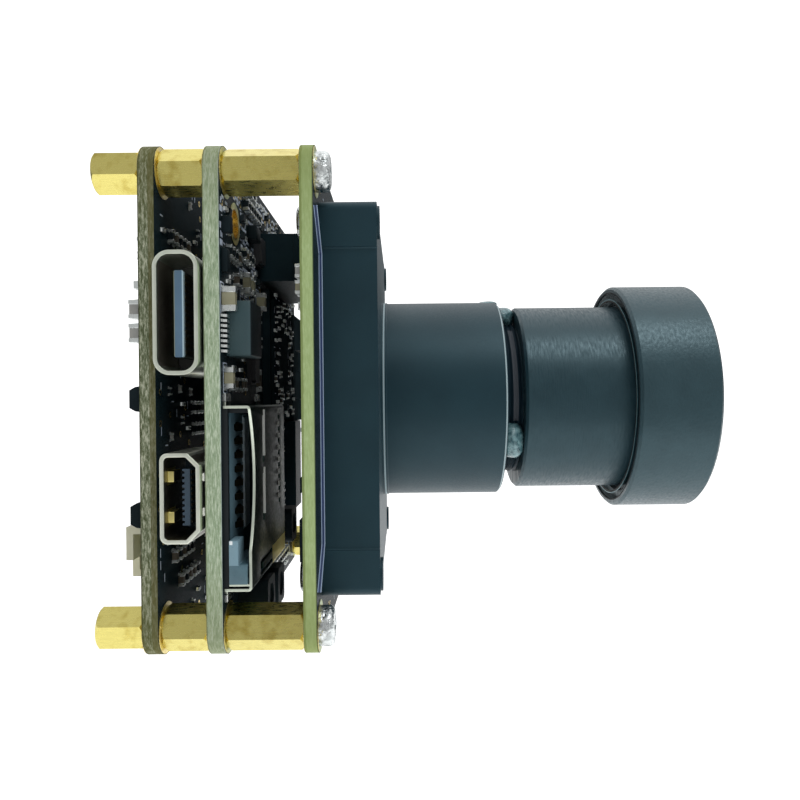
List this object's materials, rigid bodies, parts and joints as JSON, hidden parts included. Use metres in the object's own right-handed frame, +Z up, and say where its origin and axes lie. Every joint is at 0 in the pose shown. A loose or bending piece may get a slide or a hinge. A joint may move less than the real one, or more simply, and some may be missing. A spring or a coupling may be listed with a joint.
{
  "type": "camera module",
  "caption": "Stacked square circuit boards on hex standoffs with side ports, a card socket, a square lens holder and a long glued lens with a wide front ring.",
  "frame": {"origin": "on the optical axis, in the plane of the rear standoffs' free ends", "axes": "+X along the optical axis towards the lens, +Z up, -Y towards the side with the ports and the card socket"},
  "size_m": [0.0497, 0.0388, 0.038],
  "materials": {
    "board_rear": "dark solder mask over woven glass laminate with plated hole rings",
    "board_main": "dark solder mask over woven glass laminate with plated hole rings",
    "board_sensor": "dark blue solder mask over yellow-green laminate with plated hole rings",
    "brass": "turned hexagon bar, bright with fine draw lines",
    "screw_steel": "bright nickel plating",
    "holder_black": "black anodised over fine turning and milling",
    "lens_black": "black anodised over fine turning",
    "lens_inner_black": "matte black anodised",
    "coated_glass": "polished, with an anti-glare coating",
    "glue": "cured clear adhesive, glossy",
    "sensor_package": "moulded ceramic package",
    "foam": "closed-cell foam",
    "shell_steel": "folded sheet with a satin tin plating",
    "tongue_plastic": "moulded, satin",
    "contact_gold": "gold plated",
    "card_plastic": "moulded, satin",
    "card_steel": "folded thin steel sheet, satin",
    "slider_plastic": "moulded, satin",
    "spring_steel": "drawn wire",
    "connector_black": "moulded, satin",
    "chip_black": "moulded epoxy, matte",
    "chip_grey": "moulded epoxy, matte",
    "tinned": "bright tin",
    "crystal_can": "plated lid on a ceramic base",
    "ceramic": "fired ceramic with tinned ends",
    "wafer_nylon": "natural nylon, moulded"
  },
  "bodies": {
    "module": {"rear_board": "board_rear", "main_board": "board_main", "sensor_board": "board_sensor", "rear_standoffs": "brass", "middle_standoffs": "brass", "front_standoffs": "brass", "board_screws": "screw_steel", "holder_screws": "screw_steel", "lens_holder": "holder_black", "lens_barrel": "lens_black", "front_ring": "lens_black", "front_glass": "coated_glass", "second_glass": "coated_glass", "third_glass": "coated_glass", "rear_glass": "coated_glass", "front_spacer": "lens_inner_black", "middle_spacer": "lens_inner_black", "rear_spacer": "lens_inner_black", "rear_retainer": "lens_inner_black", "glue_bead": "glue", "image_sensor": "sensor_package", "sensor_cover": "coated_glass", "infrared_filter": "coated_glass", "foam_seal": "foam", "usb_shell": "shell_steel", "usb_tongue": "tongue_plastic", "usb_contacts": "contact_gold", "video_shell": "shell_steel", "video_tongue": "tongue_plastic", "video_contacts": "contact_gold", "card_base": "card_plastic", "card_cover": "card_steel", "card_contacts": "contact_gold", "card_spring": "spring_steel", "card_cam_wire": "spring_steel", "link_socket": "connector_black", "link_plug": "connector_black", "rear_link_socket": "connector_black", "rear_link_plug": "connector_black", "processor": "chip_black", "memory_chip": "chip_black", "interface_chip": "chip_grey", "chip_leads": "tinned", "flat_cable_socket": "connector_black", "power_coils": "chip_black", "crystals": "crystal_can", "main_capacitors": "ceramic", "main_small_parts": "ceramic", "main_chips": "chip_black", "sensor_chips": "chip_black", "sensor_small_parts": "ceramic", "rear_small_parts": "ceramic", "rear_capacitors": "ceramic", "rear_diodes": "chip_black", "wafer_housing": "wafer_nylon", "wafer_pins": "tinned"},
    "ejector": {"card_slider": "slider_plastic"}
  },
  "joints": [
    {"name": "card_eject", "type": "slide", "parent": "module", "child": "ejector", "axis": [0, 1, 0], "range_m": [0, 0.0036], "stiffness_N_per_m": 150, "springref_m": -0.002, "deforming": ["card_spring"]}
  ]
}
